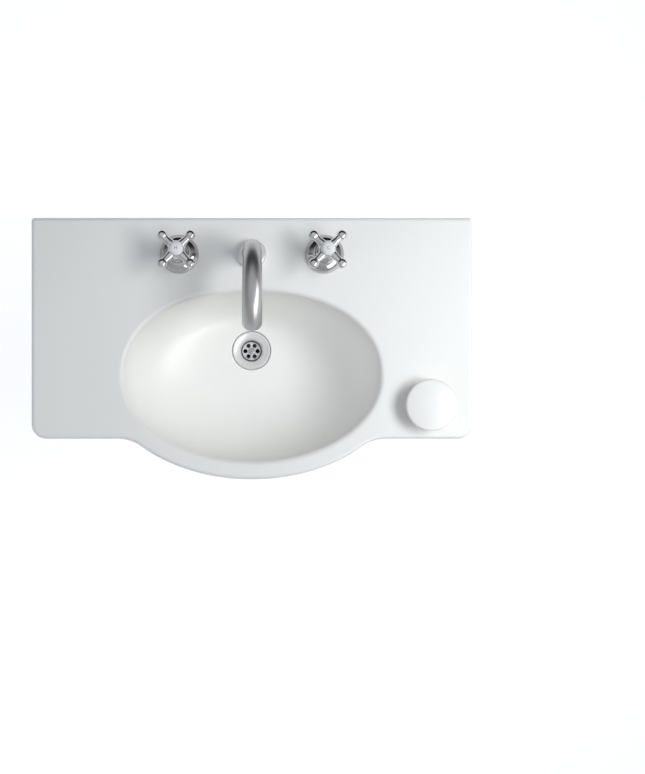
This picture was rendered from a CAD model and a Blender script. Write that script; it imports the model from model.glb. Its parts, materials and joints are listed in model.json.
"""Pedestal wash basin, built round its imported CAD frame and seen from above. The object's sizes and
profiles are in millimetres. Places that come from the frame are in metres, and so are the stage, the
lights and the camera."""
import json
import math

import bmesh
import bpy
from mathutils import Matrix, Vector


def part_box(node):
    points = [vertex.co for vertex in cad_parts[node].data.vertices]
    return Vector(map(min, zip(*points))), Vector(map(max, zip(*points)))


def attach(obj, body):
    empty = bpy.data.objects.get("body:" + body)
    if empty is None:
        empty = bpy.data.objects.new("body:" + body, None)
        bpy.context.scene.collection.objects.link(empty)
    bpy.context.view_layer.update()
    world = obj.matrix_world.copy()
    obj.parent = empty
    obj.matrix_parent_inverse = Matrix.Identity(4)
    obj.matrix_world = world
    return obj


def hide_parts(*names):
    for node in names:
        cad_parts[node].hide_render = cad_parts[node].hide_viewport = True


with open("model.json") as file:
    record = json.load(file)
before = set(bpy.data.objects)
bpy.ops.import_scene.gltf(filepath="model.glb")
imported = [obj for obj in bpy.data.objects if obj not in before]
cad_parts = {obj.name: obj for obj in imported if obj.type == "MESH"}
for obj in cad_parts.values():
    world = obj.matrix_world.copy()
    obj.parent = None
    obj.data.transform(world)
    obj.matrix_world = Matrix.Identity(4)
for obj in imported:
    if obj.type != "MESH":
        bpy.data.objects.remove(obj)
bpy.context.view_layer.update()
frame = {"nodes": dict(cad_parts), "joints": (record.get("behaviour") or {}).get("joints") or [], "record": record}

MM = 0.001
# Vertices closer than WELD metres become one, and faces that meet at more than SHARP keep a crisp edge.
WELD = 2e-6
SHARP = math.radians(35)
QUARTER_TURN_X = Matrix.Rotation(math.pi / 2, 4, "X")

# ---- Places, from the frame ----


def centre(node):
    low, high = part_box(node)
    return (low + high) / 2


def joint_axis(name):
    joint = next(j for j in frame["joints"] if j["name"] == name)
    return Vector(joint["pos_m"])


BASIN_LOW, BASIN_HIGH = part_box("basin")
RIM_Z = BASIN_HIGH.z
HOT_TAP = Vector((*joint_axis("hot_tap_turn").xy, RIM_Z))
COLD_TAP = Vector((*joint_axis("cold_tap_turn").xy, RIM_Z))
SPOUT_FOOT = Vector((*joint_axis("spout_swivel").xy, RIM_Z))
WASTE = Vector((*centre("drain_flange").xy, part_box("drain_flange")[1].z))
STOPPER_FOOT = Vector((*centre("stopper").xy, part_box("stopper")[0].z))

# ---- Basin sizes. Heights count from the deck's top ----

HALF_W = BASIN_HIGH.x / MM
BACK_Y = BASIN_HIGH.y / MM
BOW_Y = BASIN_LOW.y / MM
SIDE_DEPTH = 326
BOWL_SETBACK = 234
SIDE_FRONT_Y = BACK_Y - SIDE_DEPTH
BOWL_Y = BACK_Y - BOWL_SETBACK
BOW_A = 222
BOW_B = BOWL_Y - BOW_Y
BOW_FILLET_R = 60
FRONT_CORNER_R = 22
BACK_CORNER_R = 5
LIP_R = 7
DECK_T = 14
APRON_H = 62
APRON_T = 20
APRON_EDGE_R = 2.5
RIM_A = 188
RIM_B = 125
RIM_ROUND_R = 8
REAR_SQUARENESS = 2.2
FULLNESS = 0.8
BOWL_D = (RIM_Z - WASTE.z) / MM
BOWL_T = 12
FLOOR_R = 36
WASTE_Y = WASTE.y / MM
RECESS_R = 32
RECESS_DEPTH = 6.5
WASTE_HOLE_R = 23
BOSS_R = 37
BOSS_DROP = 37
TAP_HOLE_R = 17
WALL_HOLE_R = 6
WALL_HOLE_X = 140
WALL_HOLE_DROP = 78
PEDESTAL_MID_Y = 10


# ---- Materials ----

SMEARS_PER_PATCH = 4.3


def noise(nodes, links, coords, scale, detail=3.0):
    texture = nodes.new("ShaderNodeTexNoise")
    texture.inputs["Scale"].default_value = scale
    texture.inputs["Detail"].default_value = detail
    links.new(coords.outputs["Object"], texture.inputs["Vector"])
    return texture


def ramp_between(nodes, links, texture, low, high, start=0.35, end=0.65):
    ramp = nodes.new("ShaderNodeValToRGB")
    ramp.color_ramp.elements[0].position = start
    ramp.color_ramp.elements[0].color = (*low, 1)
    ramp.color_ramp.elements[1].position = end
    ramp.color_ramp.elements[1].color = (*high, 1)
    links.new(texture.outputs["Fac"], ramp.inputs["Fac"])
    return ramp


def surface(name, low, high, metallic, rough, patch=9.0, fine=220.0, bump=0.02, bump_depth=0.05,
            coat=0.0, coat_rough=0.04):
    """Material whose colour drifts between low and high over patches, whose roughness drifts with it, and
    whose fine grain is a shallow bump."""
    made = bpy.data.materials.new(name)
    made.use_nodes = True
    nodes, links = made.node_tree.nodes, made.node_tree.links
    shader = nodes["Principled BSDF"]
    coords = nodes.new("ShaderNodeTexCoord")
    patches = noise(nodes, links, coords, patch)
    colour = ramp_between(nodes, links, patches, low, high)
    links.new(colour.outputs["Color"], shader.inputs["Base Color"])
    spread = nodes.new("ShaderNodeMapRange")
    spread.inputs["To Min"].default_value = rough[0]
    spread.inputs["To Max"].default_value = rough[1]
    smears = noise(nodes, links, coords, patch * SMEARS_PER_PATCH, detail=5.0)
    links.new(smears.outputs["Fac"], spread.inputs["Value"])
    links.new(spread.outputs["Result"], shader.inputs["Roughness"])
    grain = noise(nodes, links, coords, fine, detail=2.0)
    relief = nodes.new("ShaderNodeBump")
    relief.inputs["Strength"].default_value = bump
    relief.inputs["Distance"].default_value = bump_depth * MM
    links.new(grain.outputs["Fac"], relief.inputs["Height"])
    links.new(relief.outputs["Normal"], shader.inputs["Normal"])
    shader.inputs["Metallic"].default_value = metallic
    shader.inputs["Coat Weight"].default_value = coat
    shader.inputs["Coat Roughness"].default_value = coat_rough
    return made


GLAZE = surface("glaze", (0.945, 0.935, 0.900), (0.965, 0.955, 0.920), 0.0, (0.34, 0.42), patch=5.0,
                fine=38.0, bump=0.05, bump_depth=0.3, coat=0.15, coat_rough=0.12)
BISQUE = surface("cap_ceramic", (0.87, 0.87, 0.86), (0.91, 0.91, 0.90), 0.0, (0.10, 0.18), patch=120.0,
                 fine=900.0, bump=0.05, coat=0.4)
CHROME = surface("chrome", (0.62, 0.625, 0.635), (0.69, 0.69, 0.695), 1.0, (0.06, 0.10), patch=30.0,
                 fine=600.0, bump=0.02)
BELL_CHROME = surface("bell_chrome", (0.50, 0.505, 0.515), (0.56, 0.565, 0.57), 1.0, (0.08, 0.13),
                      patch=30.0, fine=600.0, bump=0.03)
WORN_CHROME = surface("worn_chrome", (0.80, 0.80, 0.81), (0.87, 0.87, 0.875), 0.55, (0.34, 0.40),
                      patch=30.0, fine=900.0, bump=0.04)
SATIN = surface("satin_chrome", (0.47, 0.47, 0.475), (0.53, 0.53, 0.53), 1.0, (0.33, 0.39), patch=24.0,
                fine=1400.0, bump=0.03)
STEEL = surface("steel", (0.50, 0.50, 0.51), (0.60, 0.60, 0.60), 1.0, (0.22, 0.34), patch=90.0, fine=1800.0,
                bump=0.08)
BRASS = surface("brass", (0.34, 0.23, 0.10), (0.50, 0.36, 0.17), 1.0, (0.26, 0.42), patch=60.0, fine=900.0,
                bump=0.10)
TARNISH = surface("limed_brass", (0.05, 0.04, 0.03), (0.10, 0.08, 0.05), 1.0, (0.45, 0.60), patch=60.0,
                  fine=900.0, bump=0.20)
RUBBER = surface("rubber", (0.012, 0.010, 0.011), (0.024, 0.020, 0.021), 0.0, (0.42, 0.60), patch=120.0,
                 fine=1500.0, bump=0.15)
ALUMINA = surface("alumina", (0.74, 0.73, 0.69), (0.82, 0.81, 0.77), 0.0, (0.30, 0.45), patch=150.0,
                  fine=1200.0, bump=0.06)
PLASTIC = surface("grey_plastic", (0.30, 0.31, 0.32), (0.38, 0.39, 0.40), 0.0, (0.40, 0.55), patch=200.0,
                  fine=1600.0, bump=0.10)
INK = surface("index_ink", (0.22, 0.22, 0.24), (0.30, 0.30, 0.32), 0.0, (0.30, 0.40), patch=300.0,
              fine=2000.0, bump=0.05)
SLOT_MATERIALS = {"glazed_ceramic": GLAZE, "chrome": CHROME, "satin_chrome": SATIN, "steel": STEEL,
                  "brass": BRASS, "rubber": RUBBER, "alumina": ALUMINA, "plastic": PLASTIC}

# ---- Mesh tools ----


def mirrored_ring(half):
    """Closed ring from its right half, whose first and last points are on the middle line."""
    return half + [(-x, y) for x, y in reversed(half[1:-1])]


def oval_arc(cx, cy, a, b, start, end, steps):
    """Points on an ellipse with half axes a and b, from start to end in degrees."""
    angles = [math.radians(start + (end - start) * i / steps) for i in range(steps + 1)]
    return [(cx + a * math.cos(t), cy + b * math.sin(t)) for t in angles]


def arc(cx, cy, r, start, end, steps):
    return oval_arc(cx, cy, r, r, start, end, steps)


def rounded(profile, steps=4, closed=True):
    """Polyline whose corners given as (x, y, radius) are rounded, as far as the next points leave room."""
    count = len(profile)
    nearly_straight = math.radians(88)
    share = 0.48
    out = []
    for i, point in enumerate(profile):
        radius = point[2] if len(point) > 2 else 0
        here = Vector(point[:2])
        if radius == 0 or (not closed and i in (0, count - 1)):
            out.append(tuple(here))
            continue
        before = Vector(profile[i - 1][:2]) - here
        after = Vector(profile[(i + 1) % count][:2]) - here
        half_angle = before.angle(after) / 2
        if half_angle > nearly_straight:
            out.append(tuple(here))
            continue
        reach = min(radius / math.tan(half_angle), before.length * share, after.length * share)
        radius = reach * math.tan(half_angle)
        inward = (before.normalized() + after.normalized()).normalized()
        middle = here + inward * radius / math.sin(half_angle)
        start = here + before.normalized() * reach - middle
        end = here + after.normalized() * reach - middle
        turn = math.atan2(start.x * end.y - start.y * end.x, start.dot(end))
        for k in range(steps + 1):
            out.append(tuple(middle + Matrix.Rotation(turn * k / steps, 2) @ start))
    return out


def loft(mesh, rings, around=True, ends=False):
    """Quads between rings of points. ends closes the first and last ring with one face each."""
    rows = [[mesh.verts.new(Vector(p) * MM) for p in ring] for ring in rings]
    count = len(rows[0])
    for low, high in zip(rows, rows[1:] + rows[:1] if around else rows[1:]):
        for j in range(count):
            k = (j + 1) % count
            mesh.faces.new((low[j], low[k], high[k], high[j]))
    if ends:
        mesh.faces.new(rows[0])
        mesh.faces.new(rows[-1])
    return rows


def revolve(mesh, profile, place, segments, closed):
    """Turns a profile of (radius, height) round Z. A point with no radius becomes a single pole."""
    rows = []
    for r, z in profile:
        if r < 1e-6:
            rows.append([mesh.verts.new(place @ (Vector((0, 0, z)) * MM))])
            continue
        angles = [2 * math.pi * j / segments for j in range(segments)]
        rows.append([mesh.verts.new(place @ (Vector((r * math.cos(a), r * math.sin(a), z)) * MM))
                     for a in angles])
    pairs = list(zip(rows, rows[1:]))
    if closed:
        pairs.append((rows[-1], rows[0]))
    for low, high in pairs:
        if len(low) == 1 and len(high) == 1:
            continue
        for j in range(segments):
            k = (j + 1) % segments
            corners = [low[j % len(low)], low[k % len(low)], high[k % len(high)], high[j % len(high)]]
            mesh.faces.new(list(dict.fromkeys(corners)))


def placed(name, data):
    made = bpy.data.objects.new(name, data)
    bpy.context.scene.collection.objects.link(made)
    return made


def shade(data):
    """Smooth faces, apart from the edges that SHARP keeps crisp."""
    data.shade_smooth()
    data.set_sharp_from_angle(angle=SHARP)


def to_object(name, mesh, material):
    bmesh.ops.recalc_face_normals(mesh, faces=mesh.faces)
    data = bpy.data.meshes.new(name)
    mesh.to_mesh(data)
    mesh.free()
    data.materials.append(material)
    shade(data)
    return placed(name, data)


def evaluated_mesh(made):
    bpy.context.view_layer.update()
    return bpy.data.meshes.new_from_object(made.evaluated_get(bpy.context.evaluated_depsgraph_get()))


def apply_modifiers(made):
    """Bakes the modifiers into the mesh, and welds what they leave closer together than WELD."""
    made.data = evaluated_mesh(made)
    made.modifiers.clear()
    mesh = bmesh.new()
    mesh.from_mesh(made.data)
    bmesh.ops.remove_doubles(mesh, verts=mesh.verts, dist=WELD)
    bmesh.ops.dissolve_degenerate(mesh, edges=mesh.edges, dist=WELD)
    mesh.to_mesh(made.data)
    mesh.free()
    shade(made.data)


def joined(base, others, operation):
    """Applies one Boolean after another to base, and removes the other pieces."""
    for other in others:
        step = base.modifiers.new(operation.lower(), "BOOLEAN")
        step.operation = operation
        step.solver = "EXACT"
        step.object = other
        apply_modifiers(base)
        bpy.data.objects.remove(other)
    return base


def fit(made, body, slot, *nodes):
    """Puts a finished piece on its body, names its slot and lets it stand for its CAD nodes."""
    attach(made, body)
    if nodes:
        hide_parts(*nodes)


def turned(name, profile, place, material, steps=4, segments=96, closed=True):
    """Piece of revolution. A profile that isn't closed begins and ends on the axis."""
    mesh = bmesh.new()
    revolve(mesh, rounded(profile, steps, closed), place, segments, closed)
    return to_object(name, mesh, material)


def rod(name, low, high, radius, place, segments=64):
    """Plain cutter for a round hole."""
    profile = [(0, low), (radius, low), (radius, high), (0, high)]
    return turned(name, profile, place, GLAZE, segments=segments, closed=False)


# ---- Basin ----


def bow_normal(t, a, b):
    """Outward normal of the bow's ellipse, t from the middle of the front."""
    return Vector((b * math.sin(t), -a * math.cos(t))).normalized()


def fillet_angle(a, b, r, edge):
    """Angle on the bow's ellipse where the fillet to the straight front edge begins, found by halving."""
    low, high = math.radians(5), math.radians(85)
    for _ in range(30):
        t = (low + high) / 2
        miss = BOWL_Y - b * math.cos(t) + r * bow_normal(t, a, b).y - (edge - r)
        low, high = (t, high) if miss < 0 else (low, t)
    return t


def straight(start, end, steps):
    """Points between two corners, without the corners."""
    return [(start[0] + (end[0] - start[0]) * i / steps, start[1] + (end[1] - start[1]) * i / steps)
            for i in range(1, steps)]


def deck_outline(inset, front_r, back_r):
    """The deck seen from above, drawn in by inset: the bow, a fillet on each side of it, and the corners."""
    a, b, r = BOW_A - inset, BOW_B - inset, BOW_FILLET_R + inset
    edge = SIDE_FRONT_Y + inset
    t = fillet_angle(a, b, r, edge)
    n = bow_normal(t, a, b)
    bow_steps = 36
    bow_angles = [t * i / bow_steps for i in range(bow_steps)]
    bow = [(a * math.sin(u), BOWL_Y - b * math.cos(u)) for u in bow_angles]
    fillet = arc(a * math.sin(t) + r * n.x, edge - r, r, math.degrees(math.atan2(-n.y, -n.x)), 90, 14)
    front = arc(HALF_W - inset - front_r, edge + front_r, front_r, -90, 0, 12)
    back = arc(HALF_W - inset - back_r, BACK_Y - inset - back_r, back_r, 0, 90, 8)
    half = bow + fillet + straight(fillet[-1], front[0], 10) + front
    half += straight(front[-1], back[0], 26) + back + straight(back[-1], (0, back[-1][1]), 30)
    return mirrored_ring(half + [(0, back[-1][1])])


def power(value, exponent):
    """Power of a value that keeps its sign."""
    return math.copysign(abs(value) ** exponent, value)


def oval(angles, a, b, cy, z, squareness=REAR_SQUARENESS):
    """Ring that is an ellipse at the front and a little squarer at the back."""
    ring = []
    for t in angles:
        p = 2 / squareness if math.sin(t) > 0 else 1
        ring.append((a * power(math.cos(t), p), cy + b * power(math.sin(t), p), z))
    return ring


def bowl_ring(angles, t, grow=0.0, drop=0.0):
    """Ring of the bowl's wall at t degrees: 0 at the rim, 90 at the waste. The rim has the share f in it,
    and the floor's circle has the rest."""
    t = math.radians(t)
    f = max(math.cos(t), 0) ** FULLNESS
    depth = (BOWL_D - RIM_ROUND_R) * math.sin(t) + RIM_ROUND_R
    squareness = 2 + (REAR_SQUARENESS - 2) * f
    half_w = FLOOR_R + (RIM_A - FLOOR_R) * f + grow
    half_d = FLOOR_R + (RIM_B - FLOOR_R) * f + grow
    middle = BOWL_Y * f + WASTE_Y * (1 - f)
    return oval(angles, half_w, half_d, middle, -depth - drop * math.sin(t), squareness)


def at_height(ring, z):
    return [(x, y, z) for x, y in ring]


def kept_inside(ring, wall, gap=1.0):
    """Ring drawn in where needed to stay inside the wall outline, seen from the bowl's centre."""
    polar = sorted((math.atan2(y - BOWL_Y, x), math.hypot(x, y - BOWL_Y)) for x, y in wall)
    (first, first_reach), (last, last_reach) = polar[0], polar[-1]
    polar = [(last - 2 * math.pi, last_reach)] + polar + [(first + 2 * math.pi, first_reach)]
    out = []
    for x, y, z in ring:
        angle, reach = math.atan2(y - BOWL_Y, x), math.hypot(x, y - BOWL_Y)
        k = next(i for i in range(1, len(polar)) if polar[i][0] >= angle)
        (a0, r0), (a1, r1) = polar[k - 1], polar[k]
        limit = r0 + (r1 - r0) * (angle - a0) / max(a1 - a0, 1e-9) - gap
        scale = min(1, limit / reach)
        out.append((x * scale, BOWL_Y + (y - BOWL_Y) * scale, z))
    return out


def waste_circle(angles, r, z):
    return [(r * math.cos(t), WASTE_Y + r * math.sin(t), z) for t in angles]


def bowl_inside(angles):
    """From the waste hole up the bowl and over its rounded rim onto the deck."""
    floor = -BOWL_D

    def circle(r, z):
        return waste_circle(angles, r, z)

    ledge = floor - RECESS_DEPTH
    rings = [circle(WASTE_HOLE_R, floor - BOSS_DROP + 1), circle(WASTE_HOLE_R, ledge - 0.6),
             circle(WASTE_HOLE_R + 0.6, ledge), circle(RECESS_R - 0.4, ledge), circle(RECESS_R, ledge + 0.4),
             circle(RECESS_R, floor - 1.2), circle(RECESS_R + 0.4, floor - 0.3),
             circle(RECESS_R + 1.4, floor)]
    wall_steps, rim_steps = 36, 8
    rings += [bowl_ring(angles, 90 - 90 * i / wall_steps) for i in range(wall_steps + 1)]
    for i in range(1, rim_steps + 1):
        t = math.radians(90 * i / rim_steps)
        grow = RIM_ROUND_R * (1 - math.cos(t))
        rings.append(oval(angles, RIM_A + grow, RIM_B + grow, BOWL_Y, -RIM_ROUND_R * (1 - math.sin(t))))
    reach = RIM_ROUND_R + 0.6
    rings.append(oval(angles, RIM_A + reach, RIM_B + reach, BOWL_Y, 0))
    return rings


def hollow_outline():
    """The apron's inner face, seen from above."""
    return deck_outline(APRON_T, 4, 3)


def deck_outside():
    """From the deck's top over its rounded lip, down the apron, and up inside it to the deck's underside."""
    lip_steps, edge_steps = 8, 4
    rings = [at_height(deck_outline(LIP_R + 0.6, FRONT_CORNER_R - LIP_R, 1), 0)]
    for i in range(lip_steps + 1):
        t = math.radians(90 - 90 * i / lip_steps)
        inset = LIP_R * (1 - math.cos(t))
        outline = deck_outline(inset, FRONT_CORNER_R - inset, max(BACK_CORNER_R - inset, 1))
        rings.append(at_height(outline, -LIP_R * (1 - math.sin(t))))
    outline = deck_outline(0, FRONT_CORNER_R, BACK_CORNER_R)
    edge_z = APRON_EDGE_R - APRON_H
    rings += [at_height(outline, z) for z in (-14, -26, -38, -50, edge_z)]
    for i in range(1, edge_steps + 1):
        t = math.radians(90 * i / edge_steps)
        inset = APRON_EDGE_R * (1 - math.cos(t))
        outline = deck_outline(inset, FRONT_CORNER_R - inset, BACK_CORNER_R - inset)
        rings.append(at_height(outline, edge_z - APRON_EDGE_R * math.sin(t)))
    hollow = hollow_outline()
    rings += [at_height(deck_outline(APRON_T - 2, 6, 4), -APRON_H), at_height(hollow, 2 - APRON_H),
              at_height(hollow, -50), at_height(hollow, -34), at_height(hollow, -DECK_T - 2),
              at_height(deck_outline(APRON_T + 2, 6, 4), -DECK_T)]
    return rings


def bowl_outside(angles):
    """From the deck's underside down round the bowl to the boss that the waste is clamped on."""
    hollow = hollow_outline()
    floor = -BOWL_D
    reach = BOWL_T + 3
    start, steps = 5, 24
    rings = [kept_inside(oval(angles, RIM_A + reach, RIM_B + reach, BOWL_Y, -DECK_T), hollow, 2.5)]
    for i in range(steps + 1):
        t = start + (90 - start) * i / steps
        rings.append(kept_inside(bowl_ring(angles, t, BOWL_T, BOWL_T), hollow))
    rings += [waste_circle(angles, r, z) for r, z in (
        (BOSS_R, floor - BOWL_T - 1), (BOSS_R, floor - BOSS_DROP + 2), (BOSS_R - 2, floor - BOSS_DROP),
        (WASTE_HOLE_R + 1, floor - BOSS_DROP))]
    return rings


def raised(rings):
    """Rings measured from the deck's top, moved up to where the deck is."""
    return [[(x, y, z + RIM_Z / MM) for x, y, z in ring] for ring in rings]


def flat_fill(mesh, inner, outer):
    """Faces of a flat ring between two closed rows of vertices."""
    edges = [mesh.edges.get((row[j - 1], row[j])) for row in (inner, outer) for j in range(len(row))]
    bmesh.ops.triangle_fill(mesh, use_beauty=True, edges=edges)


def basin_shell(mesh):
    """The whole ceramic shell: the bowl's inside, the deck and its apron, and the bowl's outside."""
    count = 240
    angles = [2 * math.pi * (j + 0.5) / count for j in range(count)]
    inside = loft(mesh, raised(bowl_inside(angles)), around=False)
    deck = loft(mesh, raised(deck_outside()), around=False)
    outside = loft(mesh, raised(bowl_outside(angles)), around=False)
    flat_fill(mesh, inside[-1], deck[0])
    flat_fill(mesh, outside[0], deck[-1])
    first, last = inside[0], outside[-1]
    for j, corner in enumerate(first):
        mesh.faces.new((first[j - 1], corner, last[j], last[j - 1]))


def seat_ring():
    """Oval wall that stands on the pedestal and ends within the bowl's thickness."""
    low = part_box("pedestal")[1].z / MM
    height, wall, edge = 42, 16, 1
    half_w, half_d = 96, 86
    skin = 4
    count = 128
    angles = [2 * math.pi * j / count for j in range(count)]

    def ring(inset, z):
        return oval(angles, half_w - inset, half_d - inset, PEDESTAL_MID_Y, z)

    mesh = bmesh.new()
    loft(mesh, [ring(edge, low), ring(0, low + edge), ring(0, low + height), ring(wall, low + height),
                ring(wall, low + edge), ring(wall - edge, low)])
    space = bmesh.new()
    rings = [bowl_ring(angles, t, skin, skin) for t in range(90, 20, -5)]
    loft(space, raised(rings), around=False, ends=True)
    cutter = to_object("bowl_space", space, GLAZE)
    return joined(to_object("seat_ring", mesh, GLAZE), [cutter], "DIFFERENCE")


def back_panel():
    """Wall behind the hollow, which reaches lower than the apron and takes the wall bolts."""
    half = HALF_W - 30
    bottom = RIM_Z / MM - 100
    top = bottom + 69
    front, back = BACK_Y - 21, BACK_Y - 1
    section = rounded([(front, bottom, 3), (back, bottom, 2), (back, top), (front, top)])
    mesh = bmesh.new()
    loft(mesh, [[(x, y, z) for y, z in section] for x in (-half, -half + 2, 0, half - 2, half)],
         around=False, ends=True)
    return to_object("back_panel", mesh, GLAZE)


def basin():
    mesh = bmesh.new()
    basin_shell(mesh)
    made = to_object("basin_ceramic", mesh, GLAZE)
    joined(made, [seat_ring(), back_panel()], "UNION")
    holes = [rod("tap_hole", -40, 20, TAP_HOLE_R, Matrix.Translation(p))
             for p in (HOT_TAP, COLD_TAP, SPOUT_FOOT)]
    level = RIM_Z - WALL_HOLE_DROP * MM
    for x in (-WALL_HOLE_X, WALL_HOLE_X):
        place = Matrix.Translation((x * MM, BASIN_HIGH.y, level)) @ QUARTER_TURN_X
        holes.append(rod("wall_hole", -10, 40, WALL_HOLE_R, place))
    joined(made, holes, "DIFFERENCE")
    fit(made, "sink", "glazed_ceramic", "basin")


# ---- Pedestal ----


def pedestal_half(z, top):
    """Half width at one height: a plain foot, a quick taper to the waist, and a slow swell to the head."""
    foot, waist, head, foot_h, taper_h = 120, 84, 100, 30, 110
    return (waist + (foot - waist) * math.exp(-((max(z - foot_h, 0) / taper_h) ** 1.2))
            + (head - waist) * (z / top) ** 4)


def pedestal_section(z, top):
    """Wall of the pedestal at one height: round the outside from one edge of the slot to the other, and
    back round the inside."""
    slot_x, ratio, thick, p = 58, 0.9, 12, 2 / 2.5
    steps = 96
    a = pedestal_half(z, top)

    def side(inset):
        across, deep = a - inset, a * ratio - inset
        edge = math.acos((slot_x / across) ** (1 / p))
        angles = [edge - (math.pi + 2 * edge) * i / steps for i in range(steps + 1)]
        return [(across * power(math.cos(t), p), PEDESTAL_MID_Y + deep * power(math.sin(t), p), z)
                for t in angles]

    return side(0) + list(reversed(side(thick)))


def pedestal():
    """Hollow shaft, open at the back, with softened edges and two lugs for the floor screws."""
    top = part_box("pedestal")[1].z / MM
    foot_heights = [0, 4, 10, 20, 26, 30, 34, 40, 48]
    shaft_heights = list(range(58, round(top) - 12, 14))
    heights = foot_heights + shaft_heights + [top - 8, top - 4, top]
    mesh = bmesh.new()
    loft(mesh, [pedestal_section(z, top) for z in heights], around=False, ends=True)
    made = to_object("pedestal_ceramic", mesh, GLAZE)
    edges = made.modifiers.new("edges", "BEVEL")
    edges.width = 2.2 * MM
    edges.segments = 4
    edges.limit_method = "ANGLE"
    edges.angle_limit = math.radians(50)
    apply_modifiers(made)
    lug_x, lug_y, lug_r, lug_h, screw_r = 84, 60, 20, 12, 4.5
    profile = [(screw_r, 0), (lug_r, 0, 0.6), (lug_r, lug_h, 1.5), (screw_r, lug_h, 0.8)]
    lugs = [turned("lug", profile, Matrix.Translation(Vector((x, lug_y, 0)) * MM), GLAZE)
            for x in (-lug_x, lug_x)]
    joined(made, lugs, "UNION")
    fit(made, "sink", "glazed_ceramic", "pedestal")


# ---- Taps ----


def escutcheon(side, tap):
    """Low dome that sweeps up into a neck under the handle."""
    dome_x, dome_z, dome_r = 8.85, -5.15, 20.9
    dome = arc(dome_x, dome_z, dome_r, 20, 72, 13)
    profile = [(25.3, 0), (28.5, 0, 0.4)] + dome + [
        (14.2, 20.5, 6), (11.8, 23, 2), (10.4, 24.5, 1), (10.2, 29, 0.6), (8.3, 29, 0.3), (8.3, 21.8, 0.3),
        (12.2, 20.8, 0.3), (14.2, 14.2, 0.2), (14.2, 12.2, 0.2), (22.7, 8.8, 1), (25, 6, 1)]
    made = turned(side + "_escutcheon_bell", profile, Matrix.Translation(tap), BELL_CHROME)
    fit(made, "sink", "chrome", side + "_escutcheon")


def handle_arm(angle, tap):
    """Arm that tapers from the hub to a waist and swells into a ball."""
    ball, reach, height = 7.4, 28.0, 46.5
    waist = [(0, 8.2), (5.2, 8.2), (6.3, 10.4), (6.2, 12), (5.9, 13.6), (5.45, 15.8), (5.1, 17.8),
             (4.95, 19.4), (5.0, 20.8), (5.2, 22)]
    end = arc(0, reach, ball, -42, 84, 21) + [(0, reach + ball)]
    place = (Matrix.Translation(tap + Vector((0, 0, height)) * MM)
             @ Matrix.Rotation(math.radians(angle), 4, "Z") @ Matrix.Rotation(math.pi / 2, 4, "Y"))
    return turned("arm", waist + end, place, CHROME, segments=48, closed=False)


def handle(side, tap):
    """Hub with a skirt below it and a seat for the index cap, and its four arms."""
    profile = [(4, 31.9), (8, 31.9, 0.3), (8, 31.5, 0.2), (11.4, 31.5, 0.4), (12.2, 32.5, 0.6),
               (12.2, 34, 0.8), (10.4, 36.6, 1.2), (9.4, 40, 3), (9.9, 43, 2), (11, 46, 3),
               (11.5, 50.6, 1.2), (10.2, 52.2, 0.5), (7, 52.2, 0.3), (7, 48, 0.3), (2.2, 48), (2.2, 46),
               (4, 46)]
    made = turned(side + "_cross_handle", profile, Matrix.Translation(tap), CHROME, steps=5)
    joined(made, [handle_arm(a, tap) for a in (45, 135, 225, 315)], "UNION")
    fit(made, side + "_tap", "chrome", side + "_handle")


def index_cap(side, tap, letter):
    """White cap with a low dome, and one plain letter on it."""
    top, dome_r, dome_h, letter_h, ink = 57, 8.6, 2.7, 6.5, 0.12
    dome = oval_arc(0, top - dome_h, dome_r, dome_h, 10, 82, 9) + [(0, top)]
    profile = [(0, 50.6), (6.8, 50.6, 0.3), (6.8, 52.2), (9.8, 52.2, 0.4), (9.8, 53.6, 0.7),
               (9.1, 54.2, 0.3)] + dome
    made = turned(side + "_cap", profile, Matrix.Translation(tap), BISQUE, segments=72, closed=False)
    fit(made, side + "_tap", "glazed_ceramic", side + "_index_cap")
    text = bpy.data.curves.new(side + "_letter", "FONT")
    text.body = letter
    text.size = letter_h * MM
    text.extrude = ink * MM
    text.align_x = "CENTER"
    text.align_y = "CENTER"
    text.materials.append(INK)
    mark = placed(side + "_letter", text)
    mark.location = tap + Vector((0, 0, top - 0.1)) * MM
    fit(mark, side + "_tap", "plastic")


# ---- Spout ----

RISE = 50
BEND_END = 152
REACH = 106
BEND_R = REACH / (1 - math.cos(math.radians(BEND_END)))
SPOUT_R = 12.1
TIP_R = 13.9
TIP_LIP_R = 1.6
BORE_R = 9.5
PIVOT_R = 9.06
AERATOR_R = 11.5
AERATOR_DEPTH = 14.5
FOOT_Z = 12.3
FLARE = 2.8
FLARE_H = 7
SCREW_Z = 22
SCREW_R = 2


def spout_frame(s):
    """Point and tilt of the centre line: s from 0 to 1 up the riser, then from 1 to 2 round the bend."""
    tilt = math.radians(BEND_END * max(s - 1, 0))
    rise = RISE * min(s, 1)
    return Vector((0, -BEND_R * (1 - math.cos(tilt)), rise + BEND_R * math.sin(tilt))), tilt


def spout_ring(s, r, out=0.0, count=64):
    """Ring across the centre line at s, moved on along it by out."""
    point, tilt = spout_frame(s)
    along = Vector((0, -math.sin(tilt), math.cos(tilt)))
    across = Vector((0, math.cos(tilt), math.sin(tilt)))
    foot = SPOUT_FOOT / MM
    middle = foot + point + along * out
    angles = [2 * math.pi * j / count for j in range(count)]
    return [tuple(middle + Vector((r * math.cos(t), 0, 0)) + across * r * math.sin(t)) for t in angles]


def spout_radius(s):
    """Outer radius, flared at the foot and wider again towards the tip."""
    widens_from = 0.8
    flare = FLARE * math.exp(-((max(s * RISE - FOOT_Z, 0) / FLARE_H) ** 1.3))
    return SPOUT_R + flare + (TIP_R - SPOUT_R) * max(0, s - widens_from) / (2 - widens_from)


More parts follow.
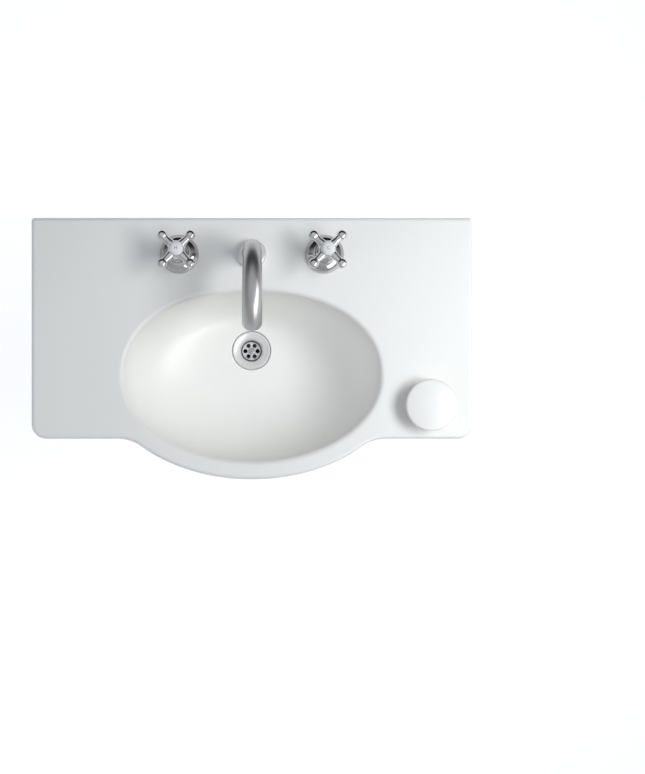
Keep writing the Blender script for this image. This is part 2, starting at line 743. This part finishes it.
def spout_outside(foot):
    """From the foot up the riser, round the bend and over the tip's rounded lip."""
    riser_steps, bend_steps, lip_steps = 26, 60, 6
    start = foot + 0.02
    stations = [start + (1 - start) * i / riser_steps for i in range(riser_steps)]
    stations += [1 + i / bend_steps for i in range(bend_steps)]
    foot_r = spout_radius(foot)
    rings = [spout_ring(foot, foot_r - 0.7), spout_ring(foot + 0.006, foot_r - 0.2)]
    rings += [spout_ring(s, spout_radius(s)) for s in stations]
    for i in range(lip_steps + 1):
        t = math.radians(90 * i / lip_steps)
        rings.append(spout_ring(2, TIP_R - TIP_LIP_R * (1 - math.cos(t)), TIP_LIP_R * (math.sin(t) - 1)))
    return rings


def spout_inside(foot):
    """From the aerator's seat back through the bore to the pivot that the spout turns on."""
    steps, bore_start, bore_end = 20, 1.86, 0.88
    rings = [spout_ring(2, AERATOR_R), spout_ring(2, AERATOR_R, -AERATOR_DEPTH),
             spout_ring(2, BORE_R, -AERATOR_DEPTH - 0.5)]
    stations = [bore_start + (bore_end - bore_start) * i / steps for i in range(steps + 1)]
    rings += [spout_ring(s, BORE_R) for s in stations]
    return rings + [spout_ring(bore_end - 0.02, PIVOT_R), spout_ring(foot + 0.01, PIVOT_R),
                    spout_ring(foot, BORE_R + 0.1)]


def spout():
    foot = FOOT_Z / RISE
    mesh = bmesh.new()
    loft(mesh, spout_outside(foot) + spout_inside(foot))
    made = to_object("spout_body", mesh, SATIN)
    hole = Matrix.Translation(SPOUT_FOOT + Vector((0, 0, SCREW_Z)) * MM) @ QUARTER_TURN_X.inverted()
    joined(made, [rod("screw_hole", 7, 30, SCREW_R, hole, 32)], "DIFFERENCE")
    fit(made, "swivel_spout", "satin_chrome", "spout")


def spout_base():
    """Stepped ring that the spout turns on."""
    profile = [(19.5, 0), (21.2, 0, 0.4), (21.2, 5.4, 1.0), (20.3, 7.2, 0.8), (20.3, 9, 0.8),
               (19.4, 11, 0.8), (18.2, 12, 0.5), (10, 12, 0.3), (10, 8, 0.3), (19.5, 5.6, 0.3)]
    made = turned("spout_base_ring", profile, Matrix.Translation(SPOUT_FOOT), WORN_CHROME)
    fit(made, "sink", "satin_chrome", "spout_base")


# ---- Waste ----


def drain_flange():
    """Dished flange and the sleeve under it, whose bore takes the stopper's plug."""
    profile = [(21, -31, 0.4), (21, -10, 0.5), (22.6, -8.5, 0.5), (22.6, -5, 0.3), (31, -5, 0.3),
               (31, -0.7, 0.6), (30, 0, 0.8), (28.4, -0.3, 1.5), (24.6, -2.3, 6), (20.4, -5.2, 5),
               (18, -7.8, 1.4), (18, -19.2, 0.2), (17.4, -19.2, 0.2), (17.4, -24), (15, -24, 0.3),
               (15, -31, 0.3)]
    made = turned("waste_flange", profile, Matrix.Translation(WASTE), WORN_CHROME, steps=6, segments=128)
    fit(made, "sink", "chrome", "drain_flange")


def flat_plate(name, outer, holes, thick, bevel, place, material):
    """Plate with round holes and softened edges, from a filled curve."""
    rim_points, hole_points = 96, 40
    curve = bpy.data.curves.new(name, "CURVE")
    curve.dimensions = "2D"
    curve.fill_mode = "BOTH"
    curve.extrude = (thick / 2 - bevel) * MM
    curve.bevel_depth = bevel * MM
    curve.bevel_resolution = 3
    curve.offset = -bevel * MM
    for cx, cy, r in [(0, 0, outer)] + holes:
        spline = curve.splines.new("POLY")
        count = rim_points if r == outer else hole_points
        spline.points.add(count - 1)
        for j, point in enumerate(spline.points):
            t = 2 * math.pi * j / count
            point.co = ((cx + r * math.cos(t)) * MM, (cy + r * math.sin(t)) * MM, 0, 1)
        spline.use_cyclic_u = True
    shape = placed(name + "_curve", curve)
    data = evaluated_mesh(shape)
    bpy.data.objects.remove(shape)
    mesh = bmesh.new()
    mesh.from_mesh(data)
    bmesh.ops.remove_doubles(mesh, verts=mesh.verts, dist=WELD)
    mesh.transform(place)
    return to_object(name, mesh, material)


def strainer():
    """Plate with six holes round the screw, in a black seal that shows round it."""
    plate_r, thick, bevel, level = 15.4, 2.5, 0.35, -22.75
    hole_r, holes_reach, screw_hole_r = 3.5, 10.2, 3.2
    holes = [(x, y, hole_r) for x, y in arc(0, 0, holes_reach, 0, 300, 5)] + [(0, 0, screw_hole_r)]
    place = Matrix.Translation(WASTE + Vector((0, 0, level)) * MM)
    made = flat_plate("strainer_plate", plate_r, holes, thick, bevel, place, WORN_CHROME)
    fit(made, "sink", "chrome", "strainer")
    profile = [(15.5, -24, 0.1), (17.2, -24, 0.3), (17.2, -22.2, 0.6), (15.5, -22.2, 0.4)]
    fit(turned("strainer_seal", profile, Matrix.Translation(WASTE), RUBBER), "sink", "rubber")


def strainer_screw():
    """Screw with a domed head and one slot across it."""
    slot_w, slot_length, slot_h, slot_z = 1.2, 16, 2.4, -19
    profile = [(0, -68), (2.6, -68), (3, -67), (3, -21.5), (5.7, -21.5), (5.7, -21.1), (5.2, -20.2),
               (3.6, -19.45), (1.8, -19.22), (0, -19.2)]
    made = turned("strainer_bolt", profile, Matrix.Translation(WASTE), STEEL, segments=64, closed=False)
    slot = bmesh.new()
    bmesh.ops.create_cube(slot, size=1)
    slot.transform(Matrix.Translation(WASTE + Vector((0, 0, slot_z)) * MM)
                   @ Matrix.Diagonal((slot_w * MM, slot_length * MM, slot_h * MM, 1)))
    joined(made, [to_object("slot", slot, STEEL)], "DIFFERENCE")
    fit(made, "sink", "steel", "strainer_screw")


# ---- Stopper ----


def stopper():
    """Plug with a groove for its ring, a short neck, and a wide pebble-shaped head."""
    place = Matrix.Translation(STOPPER_FOOT)
    plug = [(0, 0), (14.8, 0, 0.5), (15.8, 0.9, 0.6), (15.8, 2.6, 0.4), (14.6, 3, 0.2), (14.6, 6.2, 0.2),
            (16.4, 6.6, 0.5), (17, 10.5, 6)]
    head = [(18.6, 14.6, 3), (24, 15.9, 10), (32, 18.3, 8), (36.4, 20.7, 3.5), (37.45, 23, 2.4),
            (35.6, 25.6, 3), (28, 27.6, 20), (18, 29.7, 20), (9, 30.9, 10), (0, 31.2)]
    made = turned("stopper_ceramic", plug + head, place, GLAZE, steps=6, segments=128, closed=False)
    fit(made, "drain_stopper", "glazed_ceramic", "stopper")
    ring = turned("stopper_ring", oval_arc(16.2, 4.6, 1.6, 1.5, 0, 340, 17), place, RUBBER)
    fit(ring, "drain_stopper", "rubber", "stopper_o_ring")


# ---- CAD nodes that keep their shape ----


def dress_cad_nodes():
    """Gives each CAD node the material of its slot, except that the drain body's brass is limed."""
    slots = {s["node"]: s["material_slot"] for s in frame["record"]["subparts"]}
    for name, node in frame["nodes"].items():
        node.data.materials.clear()
        node.data.materials.append(TARNISH if name == "drain_body" else SLOT_MATERIALS[slots[name]])


# ---- Stage, light and camera, in metres ----

SKY_STOPS = [(0.0, 0.03), (0.30, 0.06), (0.55, 0.17), (0.80, 0.42), (1.0, 0.58)]
SKY_TINT = (0.90, 0.96, 1.04)
ROOM_STOPS = [(0.0, 0.52), (0.14, 0.46), (0.34, 0.38), (0.50, 0.38), (0.66, 0.30), (0.78, 0.04), (1.0, 0.02)]
CEILING_STOPS = [(0.55, 0.0), (0.86, 1.0)]
CEILING = (0.68, 0.69, 0.70, 1)
BACKDROP = (0.92, 0.92, 0.92, 1)
DECK_MIDDLE = Vector((0, 0, RIM_Z))


def aimed(made, place, target):
    """Puts a light or a pane at place, facing the target."""
    made.location = place
    made.rotation_euler = (target - Vector(place)).to_track_quat("-Z", "Y").to_euler()


def glowing_sheet(name, half_w, half_h, paint, strength):
    """Flat rectangle whose paint also shines."""
    corners = [(-half_w, -half_h, 0), (half_w, -half_h, 0), (half_w, half_h, 0), (-half_w, half_h, 0)]
    mesh = bpy.data.meshes.new(name)
    mesh.from_pydata(corners, [], [(0, 1, 2, 3)])
    shader = paint.node_tree.nodes["Principled BSDF"]
    shader.inputs["Emission Color"].default_value = (1, 1, 1, 1)
    shader.inputs["Emission Strength"].default_value = strength
    mesh.materials.append(paint)
    return placed(name, mesh)


def lit_floor():
    """Pale floor just under the pedestal, with a glow that keeps it near white."""
    half, level, glow = 6.0, -0.0004, 0.6
    paint = surface("floor_paint", (0.86, 0.86, 0.86), (0.88, 0.88, 0.88), 0.0, (0.7, 0.8), patch=2.0)
    floor = glowing_sheet("floor", half, half, paint, glow)
    floor.location.z = level


def window():
    """Bright window at the front right, seen only in reflections."""
    half_w, half_h, glow = 0.85, 0.34, 3.6
    place = (1.02, -0.60, RIM_Z + 0.74)
    paint = surface("window_light", (0.80, 0.80, 0.80), (0.84, 0.84, 0.84), 0.0, (0.6, 0.7))
    pane = glowing_sheet("window", half_w, half_h, paint, glow)
    aimed(pane, place, DECK_MIDDLE + Vector((0, 0.05, 0)))
    pane.visible_camera = False
    pane.visible_diffuse = False
    pane.visible_shadow = False


def grey_ramp(nodes, links, source, stops, tint=(1, 1, 1)):
    """Ramp of tinted greys at the given positions, driven by source."""
    ramp = nodes.new("ShaderNodeValToRGB")
    for _ in stops[1:-1]:
        ramp.color_ramp.elements.new(0.5)
    for element, (position, grey) in zip(ramp.color_ramp.elements, stops):
        element.position = position
        element.color = (grey * tint[0], grey * tint[1], grey * tint[2], 1)
    links.new(source, ramp.inputs["Fac"])
    return ramp.outputs["Color"]


def world_light():
    """Soft light from overhead for the surfaces, a plain backdrop for the camera, and for reflections a room
    that is dark at the back, under a pale ceiling."""
    world = bpy.data.worlds.new("studio")
    bpy.context.scene.world = world
    world.use_nodes = True
    nodes, links = world.node_tree.nodes, world.node_tree.links
    nodes.clear()
    coords = nodes.new("ShaderNodeTexCoord")
    split = nodes.new("ShaderNodeSeparateXYZ")
    links.new(coords.outputs["Generated"], split.inputs["Vector"])
    rays = nodes.new("ShaderNodeLightPath")

    def plain(colour):
        background = nodes.new("ShaderNodeBackground")
        background.inputs["Color"].default_value = colour
        return background.outputs["Background"]

    def graded(source):
        background = nodes.new("ShaderNodeBackground")
        links.new(source, background.inputs["Color"])
        return background.outputs["Background"]

    def either(switch, no, yes):
        mix = nodes.new("ShaderNodeMixShader")
        links.new(switch, mix.inputs["Fac"])
        links.new(no, mix.inputs[1])
        links.new(yes, mix.inputs[2])
        return mix.outputs["Shader"]

    overhead = grey_ramp(nodes, links, split.outputs["Z"], SKY_STOPS, SKY_TINT)
    along = nodes.new("ShaderNodeMapRange")
    along.inputs["From Min"].default_value = -1
    links.new(split.outputs["Y"], along.inputs["Value"])
    walls = grey_ramp(nodes, links, along.outputs["Result"], ROOM_STOPS)
    height = grey_ramp(nodes, links, split.outputs["Z"], CEILING_STOPS)
    room = either(height, graded(walls), plain(CEILING))
    lit = either(rays.outputs["Is Glossy Ray"], graded(overhead), room)
    out = nodes.new("ShaderNodeOutputWorld")
    links.new(either(rays.outputs["Is Camera Ray"], lit, plain(BACKDROP)), out.inputs["Surface"])


def softbox(name, place, size, watts, colour):
    """Area light on the deck that neither the camera nor a reflection shows."""
    light = bpy.data.lights.new(name, "AREA")
    light.shape = "RECTANGLE"
    light.size, light.size_y = size
    light.energy = watts
    light.color = colour
    made = placed(name, light)
    aimed(made, place, DECK_MIDDLE)
    made.visible_camera = False
    made.visible_glossy = False


def camera():
    """Straight down on the deck, from above a point a little left of the bowl's middle. seen_length is how
    much of the deck's plane the picture's longer side takes in."""
    height = 1.11
    seen_length = 1.13573
    data = bpy.data.cameras.new("camera")
    data.sensor_width = 36
    data.lens = height / seen_length * data.sensor_width
    data.shift_x = 0.0952
    data.shift_y = -0.0101
    made = placed("camera", data)
    made.location = (-0.0045, -0.045, RIM_Z + height)
    bpy.context.scene.camera = made


dress_cad_nodes()
basin()
pedestal()
for name, place, mark in (("hot", HOT_TAP, "H"), ("cold", COLD_TAP, "C")):
    escutcheon(name, place)
    handle(name, place)
    index_cap(name, place, mark)
spout()
spout_base()
drain_flange()
strainer()
strainer_screw()
stopper()

lit_floor()
world_light()
softbox("key", (0.80, 0.02, RIM_Z + 0.94), (0.75, 0.45), 9.6, (0.96, 0.98, 1.0))
softbox("fill", (-2.15, -0.8, RIM_Z + 1.0), (1.0, 1.0), 10.0, (0.88, 0.95, 1.0))
window()
camera()
bpy.context.scene.view_settings.view_transform = "Standard"
